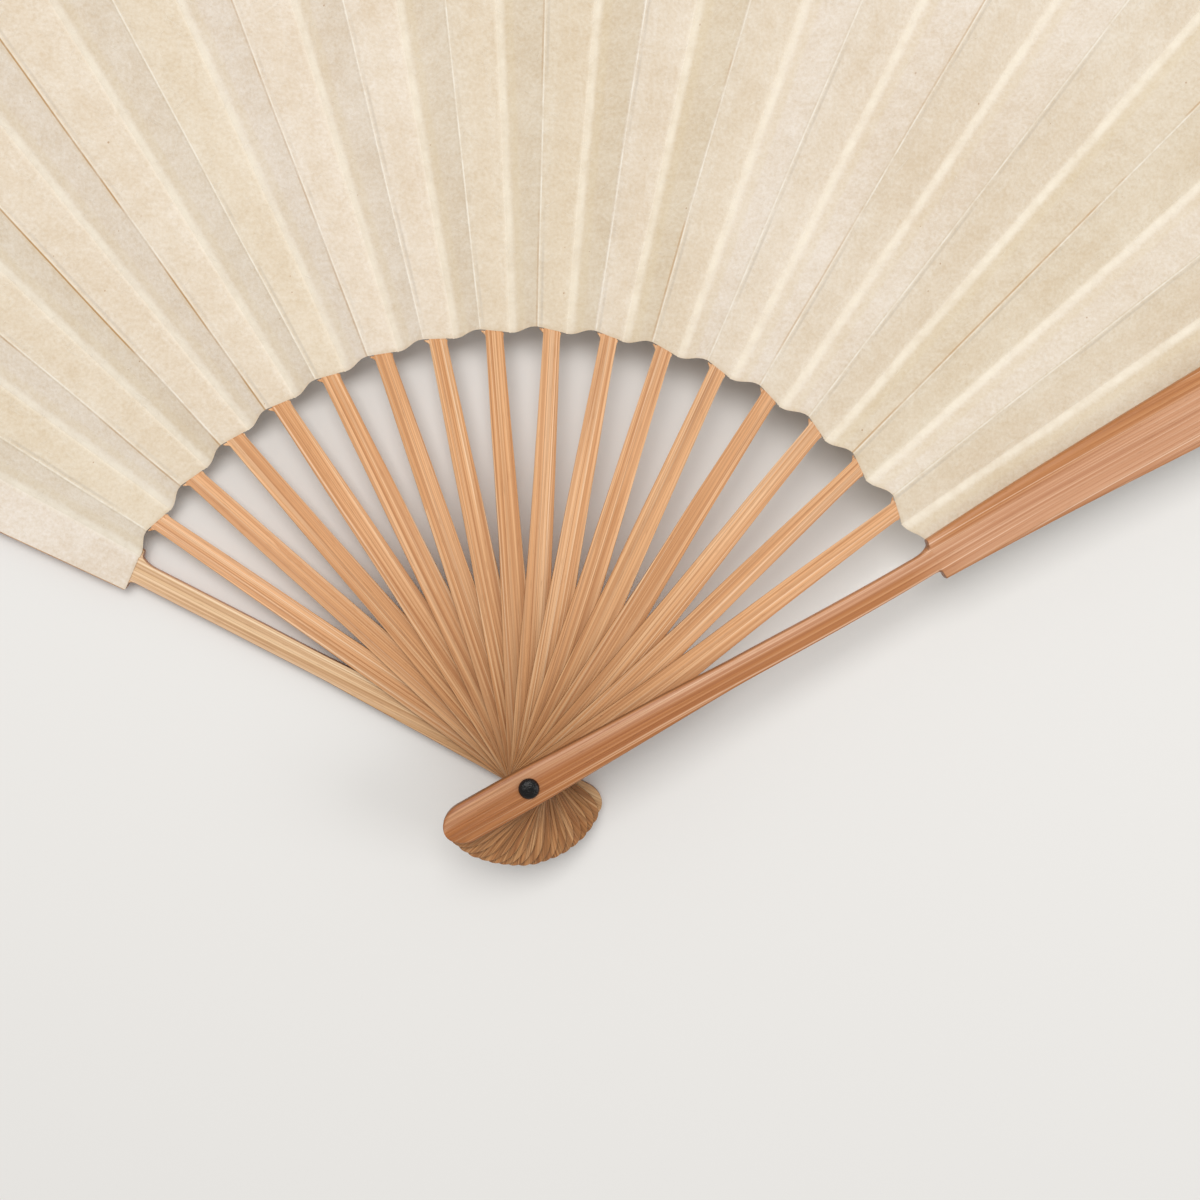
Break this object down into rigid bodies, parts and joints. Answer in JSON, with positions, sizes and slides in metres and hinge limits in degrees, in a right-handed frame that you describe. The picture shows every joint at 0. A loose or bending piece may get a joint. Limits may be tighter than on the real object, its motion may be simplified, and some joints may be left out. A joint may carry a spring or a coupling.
{
  "type": "folding fan",
  "caption": "Open folding fan: bamboo ribs and guards on one rivet, with a pleated paper leaf that folds up as the sticks swing together.",
  "frame": {"origin": "middle of the rivet's flat rear face, on the axis that every stick turns about", "axes": "+X across the open fan, to the right seen from the front guard's side; +Y from the rivet to the middle of the leaf; +Z from the back guard up to the front guard"},
  "size_m": [0.5332, 0.3157, 0.0254],
  "materials": {
    "guard_bamboo": "polished bamboo, satin",
    "rib_bamboo": "smooth bamboo, satin",
    "leaf_paper": "matt cream paper, bare",
    "black_horn": "glossy black"
  },
  "bodies": {
    "back_guard": {"back_guard": "guard_bamboo", "rivet": "black_horn", "leaf_back_panel": "leaf_paper"},
    "pleat_01": {"leaf_pleat_01": "leaf_paper"},
    "rib_01": {"rib_01": "rib_bamboo", "leaf_rib_panel_01": "leaf_paper"},
    "pleat_02": {"leaf_pleat_02": "leaf_paper"},
    "rib_02": {"rib_02": "rib_bamboo", "leaf_rib_panel_02": "leaf_paper"},
    "pleat_03": {"leaf_pleat_03": "leaf_paper"},
    "rib_03": {"rib_03": "rib_bamboo", "leaf_rib_panel_03": "leaf_paper"},
    "pleat_04": {"leaf_pleat_04": "leaf_paper"},
    "rib_04": {"rib_04": "rib_bamboo", "leaf_rib_panel_04": "leaf_paper"},
    "pleat_05": {"leaf_pleat_05": "leaf_paper"},
    "rib_05": {"rib_05": "rib_bamboo", "leaf_rib_panel_05": "leaf_paper"},
    "pleat_06": {"leaf_pleat_06": "leaf_paper"},
    "rib_06": {"rib_06": "rib_bamboo", "leaf_rib_panel_06": "leaf_paper"},
    "pleat_07": {"leaf_pleat_07": "leaf_paper"},
    "rib_07": {"rib_07": "rib_bamboo", "leaf_rib_panel_07": "leaf_paper"},
    "pleat_08": {"leaf_pleat_08": "leaf_paper"},
    "rib_08": {"rib_08": "rib_bamboo", "leaf_rib_panel_08": "leaf_paper"},
    "pleat_09": {"leaf_pleat_09": "leaf_paper"},
    "rib_09": {"rib_09": "rib_bamboo", "leaf_rib_panel_09": "leaf_paper"},
    "pleat_10": {"leaf_pleat_10": "leaf_paper"},
    "rib_10": {"rib_10": "rib_bamboo", "leaf_rib_panel_10": "leaf_paper"},
    "pleat_11": {"leaf_pleat_11": "leaf_paper"},
    "rib_11": {"rib_11": "rib_bamboo", "leaf_rib_panel_11": "leaf_paper"},
    "pleat_12": {"leaf_pleat_12": "leaf_paper"},
    "rib_12": {"rib_12": "rib_bamboo", "leaf_rib_panel_12": "leaf_paper"},
    "pleat_13": {"leaf_pleat_13": "leaf_paper"},
    "rib_13": {"rib_13": "rib_bamboo", "leaf_rib_panel_13": "leaf_paper"},
    "pleat_14": {"leaf_pleat_14": "leaf_paper"},
    "rib_14": {"rib_14": "rib_bamboo", "leaf_rib_panel_14": "leaf_paper"},
    "pleat_15": {"leaf_pleat_15": "leaf_paper"},
    "rib_15": {"rib_15": "rib_bamboo", "leaf_rib_panel_15": "leaf_paper"},
    "pleat_16": {"leaf_pleat_16": "leaf_paper"},
    "rib_16": {"rib_16": "rib_bamboo", "leaf_rib_panel_16": "leaf_paper"},
    "pleat_17": {"leaf_pleat_17": "leaf_paper"},
    "front_guard": {"front_guard": "guard_bamboo", "leaf_front_panel": "leaf_paper"}
  },
  "joints": [
    {"name": "pleat_01_fold", "type": "hinge", "parent": "back_guard", "child": "pleat_01", "pos_m": [0, 0, 0], "axis": [0, 0, 1], "range_deg": [-0.38, 3.62]},
    {"name": "rib_01_fold", "type": "hinge", "parent": "pleat_01", "child": "rib_01", "pos_m": [0, 0, 0], "axis": [0, 0, 1], "range_deg": [-0.38, 3.62]},
    {"name": "pleat_02_fold", "type": "hinge", "parent": "rib_01", "child": "pleat_02", "pos_m": [0, 0, 0], "axis": [0, 0, 1], "range_deg": [-0.38, 3.62]},
    {"name": "rib_02_fold", "type": "hinge", "parent": "pleat_02", "child": "rib_02", "pos_m": [0, 0, 0], "axis": [0, 0, 1], "range_deg": [-0.38, 3.62]},
    {"name": "pleat_03_fold", "type": "hinge", "parent": "rib_02", "child": "pleat_03", "pos_m": [0, 0, 0], "axis": [0, 0, 1], "range_deg": [-0.38, 3.62]},
    {"name": "rib_03_fold", "type": "hinge", "parent": "pleat_03", "child": "rib_03", "pos_m": [0, 0, 0], "axis": [0, 0, 1], "range_deg": [-0.38, 3.62]},
    {"name": "pleat_04_fold", "type": "hinge", "parent": "rib_03", "child": "pleat_04", "pos_m": [0, 0, 0], "axis": [0, 0, 1], "range_deg": [-0.38, 3.62]},
    {"name": "rib_04_fold", "type": "hinge", "parent": "pleat_04", "child": "rib_04", "pos_m": [0, 0, 0], "axis": [0, 0, 1], "range_deg": [-0.38, 3.62]},
    {"name": "pleat_05_fold", "type": "hinge", "parent": "rib_04", "child": "pleat_05", "pos_m": [0, 0, 0], "axis": [0, 0, 1], "range_deg": [-0.38, 3.62]},
    {"name": "rib_05_fold", "type": "hinge", "parent": "pleat_05", "child": "rib_05", "pos_m": [0, 0, 0], "axis": [0, 0, 1], "range_deg": [-0.38, 3.62]},
    {"name": "pleat_06_fold", "type": "hinge", "parent": "rib_05", "child": "pleat_06", "pos_m": [0, 0, 0], "axis": [0, 0, 1], "range_deg": [-0.38, 3.62]},
    {"name": "rib_06_fold", "type": "hinge", "parent": "pleat_06", "child": "rib_06", "pos_m": [0, 0, 0], "axis": [0, 0, 1], "range_deg": [-0.38, 3.62]},
    {"name": "pleat_07_fold", "type": "hinge", "parent": "rib_06", "child": "pleat_07", "pos_m": [0, 0, 0], "axis": [0, 0, 1], "range_deg": [-0.38, 3.62]},
    {"name": "rib_07_fold", "type": "hinge", "parent": "pleat_07", "child": "rib_07", "pos_m": [0, 0, 0], "axis": [0, 0, 1], "range_deg": [-0.38, 3.62]},
    {"name": "pleat_08_fold", "type": "hinge", "parent": "rib_07", "child": "pleat_08", "pos_m": [0, 0, 0], "axis": [0, 0, 1], "range_deg": [-0.38, 3.62]},
    {"name": "rib_08_fold", "type": "hinge", "parent": "pleat_08", "child": "rib_08", "pos_m": [0, 0, 0], "axis": [0, 0, 1], "range_deg": [-0.38, 3.62]},
    {"name": "pleat_09_fold", "type": "hinge", "parent": "rib_08", "child": "pleat_09", "pos_m": [0, 0, 0], "axis": [0, 0, 1], "range_deg": [-0.38, 3.62]},
    {"name": "rib_09_fold", "type": "hinge", "parent": "pleat_09", "child": "rib_09", "pos_m": [0, 0, 0], "axis": [0, 0, 1], "range_deg": [-0.38, 3.62]},
    {"name": "pleat_10_fold", "type": "hinge", "parent": "rib_09", "child": "pleat_10", "pos_m": [0, 0, 0], "axis": [0, 0, 1], "range_deg": [-0.38, 3.62]},
    {"name": "rib_10_fold", "type": "hinge", "parent": "pleat_10", "child": "rib_10", "pos_m": [0, 0, 0], "axis": [0, 0, 1], "range_deg": [-0.38, 3.62]},
    {"name": "pleat_11_fold", "type": "hinge", "parent": "rib_10", "child": "pleat_11", "pos_m": [0, 0, 0], "axis": [0, 0, 1], "range_deg": [-0.38, 3.62]},
    {"name": "rib_11_fold", "type": "hinge", "parent": "pleat_11", "child": "rib_11", "pos_m": [0, 0, 0], "axis": [0, 0, 1], "range_deg": [-0.38, 3.62]},
    {"name": "pleat_12_fold", "type": "hinge", "parent": "rib_11", "child": "pleat_12", "pos_m": [0, 0, 0], "axis": [0, 0, 1], "range_deg": [-0.38, 3.62]},
    {"name": "rib_12_fold", "type": "hinge", "parent": "pleat_12", "child": "rib_12", "pos_m": [0, 0, 0], "axis": [0, 0, 1], "range_deg": [-0.38, 3.62]},
    {"name": "pleat_13_fold", "type": "hinge", "parent": "rib_12", "child": "pleat_13", "pos_m": [0, 0, 0], "axis": [0, 0, 1], "range_deg": [-0.38, 3.62]},
    {"name": "rib_13_fold", "type": "hinge", "parent": "pleat_13", "child": "rib_13", "pos_m": [0, 0, 0], "axis": [0, 0, 1], "range_deg": [-0.38, 3.62]},
    {"name": "pleat_14_fold", "type": "hinge", "parent": "rib_13", "child": "pleat_14", "pos_m": [0, 0, 0], "axis": [0, 0, 1], "range_deg": [-0.38, 3.62]},
    {"name": "rib_14_fold", "type": "hinge", "parent": "pleat_14", "child": "rib_14", "pos_m": [0, 0, 0], "axis": [0, 0, 1], "range_deg": [-0.38, 3.62]},
    {"name": "pleat_15_fold", "type": "hinge", "parent": "rib_14", "child": "pleat_15", "pos_m": [0, 0, 0], "axis": [0, 0, 1], "range_deg": [-0.38, 3.62]},
    {"name": "rib_15_fold", "type": "hinge", "parent": "pleat_15", "child": "rib_15", "pos_m": [0, 0, 0], "axis": [0, 0, 1], "range_deg": [-0.38, 3.62]},
    {"name": "pleat_16_fold", "type": "hinge", "parent": "rib_15", "child": "pleat_16", "pos_m": [0, 0, 0], "axis": [0, 0, 1], "range_deg": [-0.38, 3.62]},
    {"name": "rib_16_fold", "type": "hinge", "parent": "pleat_16", "child": "rib_16", "pos_m": [0, 0, 0], "axis": [0, 0, 1], "range_deg": [-0.38, 3.62]},
    {"name": "pleat_17_fold", "type": "hinge", "parent": "rib_16", "child": "pleat_17", "pos_m": [0, 0, 0], "axis": [0, 0, 1], "range_deg": [-0.38, 3.62]},
    {"name": "front_guard_fold", "type": "hinge", "parent": "pleat_17", "child": "front_guard", "pos_m": [0, 0, 0], "axis": [0, 0, 1], "range_deg": [-0.38, 3.62]}
  ],
  "couplings": [
    {"joint": "rib_01_fold", "follows": "pleat_01_fold", "ratio": 1},
    {"joint": "pleat_02_fold", "follows": "pleat_01_fold", "ratio": 1},
    {"joint": "rib_02_fold", "follows": "pleat_01_fold", "ratio": 1},
    {"joint": "pleat_03_fold", "follows": "pleat_01_fold", "ratio": 1},
    {"joint": "rib_03_fold", "follows": "pleat_01_fold", "ratio": 1},
    {"joint": "pleat_04_fold", "follows": "pleat_01_fold", "ratio": 1},
    {"joint": "rib_04_fold", "follows": "pleat_01_fold", "ratio": 1},
    {"joint": "pleat_05_fold", "follows": "pleat_01_fold", "ratio": 1},
    {"joint": "rib_05_fold", "follows": "pleat_01_fold", "ratio": 1},
    {"joint": "pleat_06_fold", "follows": "pleat_01_fold", "ratio": 1},
    {"joint": "rib_06_fold", "follows": "pleat_01_fold", "ratio": 1},
    {"joint": "pleat_07_fold", "follows": "pleat_01_fold", "ratio": 1},
    {"joint": "rib_07_fold", "follows": "pleat_01_fold", "ratio": 1},
    {"joint": "pleat_08_fold", "follows": "pleat_01_fold", "ratio": 1},
    {"joint": "rib_08_fold", "follows": "pleat_01_fold", "ratio": 1},
    {"joint": "pleat_09_fold", "follows": "pleat_01_fold", "ratio": 1},
    {"joint": "rib_09_fold", "follows": "pleat_01_fold", "ratio": 1},
    {"joint": "pleat_10_fold", "follows": "pleat_01_fold", "ratio": 1},
    {"joint": "rib_10_fold", "follows": "pleat_01_fold", "ratio": 1},
    {"joint": "pleat_11_fold", "follows": "pleat_01_fold", "ratio": 1},
    {"joint": "rib_11_fold", "follows": "pleat_01_fold", "ratio": 1},
    {"joint": "pleat_12_fold", "follows": "pleat_01_fold", "ratio": 1},
    {"joint": "rib_12_fold", "follows": "pleat_01_fold", "ratio": 1},
    {"joint": "pleat_13_fold", "follows": "pleat_01_fold", "ratio": 1},
    {"joint": "rib_13_fold", "follows": "pleat_01_fold", "ratio": 1},
    {"joint": "pleat_14_fold", "follows": "pleat_01_fold", "ratio": 1},
    {"joint": "rib_14_fold", "follows": "pleat_01_fold", "ratio": 1},
    {"joint": "pleat_15_fold", "follows": "pleat_01_fold", "ratio": 1},
    {"joint": "rib_15_fold", "follows": "pleat_01_fold", "ratio": 1},
    {"joint": "pleat_16_fold", "follows": "pleat_01_fold", "ratio": 1},
    {"joint": "rib_16_fold", "follows": "pleat_01_fold", "ratio": 1},
    {"joint": "pleat_17_fold", "follows": "pleat_01_fold", "ratio": 1},
    {"joint": "front_guard_fold", "follows": "pleat_01_fold", "ratio": 1}
  ]
}
